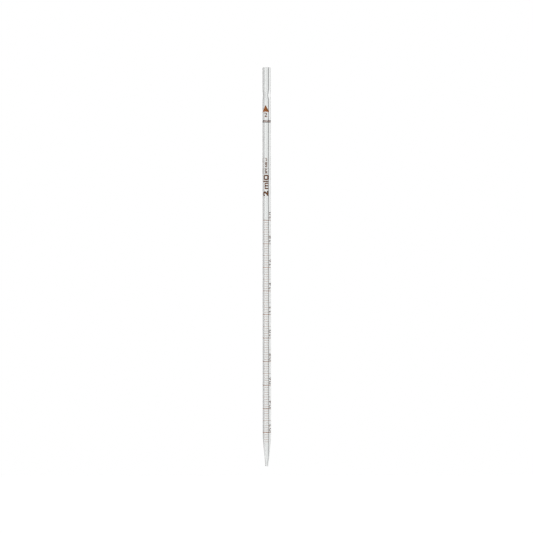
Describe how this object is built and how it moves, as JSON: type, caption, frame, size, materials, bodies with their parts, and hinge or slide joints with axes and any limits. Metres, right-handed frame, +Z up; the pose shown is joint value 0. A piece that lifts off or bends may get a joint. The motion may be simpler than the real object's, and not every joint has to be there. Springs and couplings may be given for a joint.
{
  "type": "graduated pipette",
  "caption": "Straight glass measuring pipette with a drawn tapered jet, a constriction for a cotton plug below the mouthpiece, and a fired ring-and-line volume scale with numerals.",
  "frame": {"origin": "centre of the jet's tip, the lowest point of the glass, on the tube's axis", "axes": "+Z up along the tube's axis to the mouthpiece, -Y the way the middle of the printed scale faces, +X to the reader's right"},
  "size_m": [0.0074, 0.0074, 0.36],
  "materials": {
    "clear_glass": "clear drawn borosilicate glass, fire-polished at both ends",
    "amber_print": "amber-brown stain and enamel that lets some light through, fired onto the glass, satin",
    "grey_print": "thin dark greyish-brown enamel band that lets some light through, fired onto the glass, satin"
  },
  "bodies": {
    "root": {"glass_tube": "clear_glass", "main_graduation_rings": "amber_print", "half_graduation_marks": "amber_print", "fine_graduation_marks": "amber_print", "scale_numerals": "amber_print", "capacity_marking": "amber_print", "quality_mark": "amber_print", "calibration_text": "amber_print", "direction_arrow": "amber_print", "type_numeral": "amber_print", "colour_code_ring": "grey_print"}
  },
  "joints": []
}
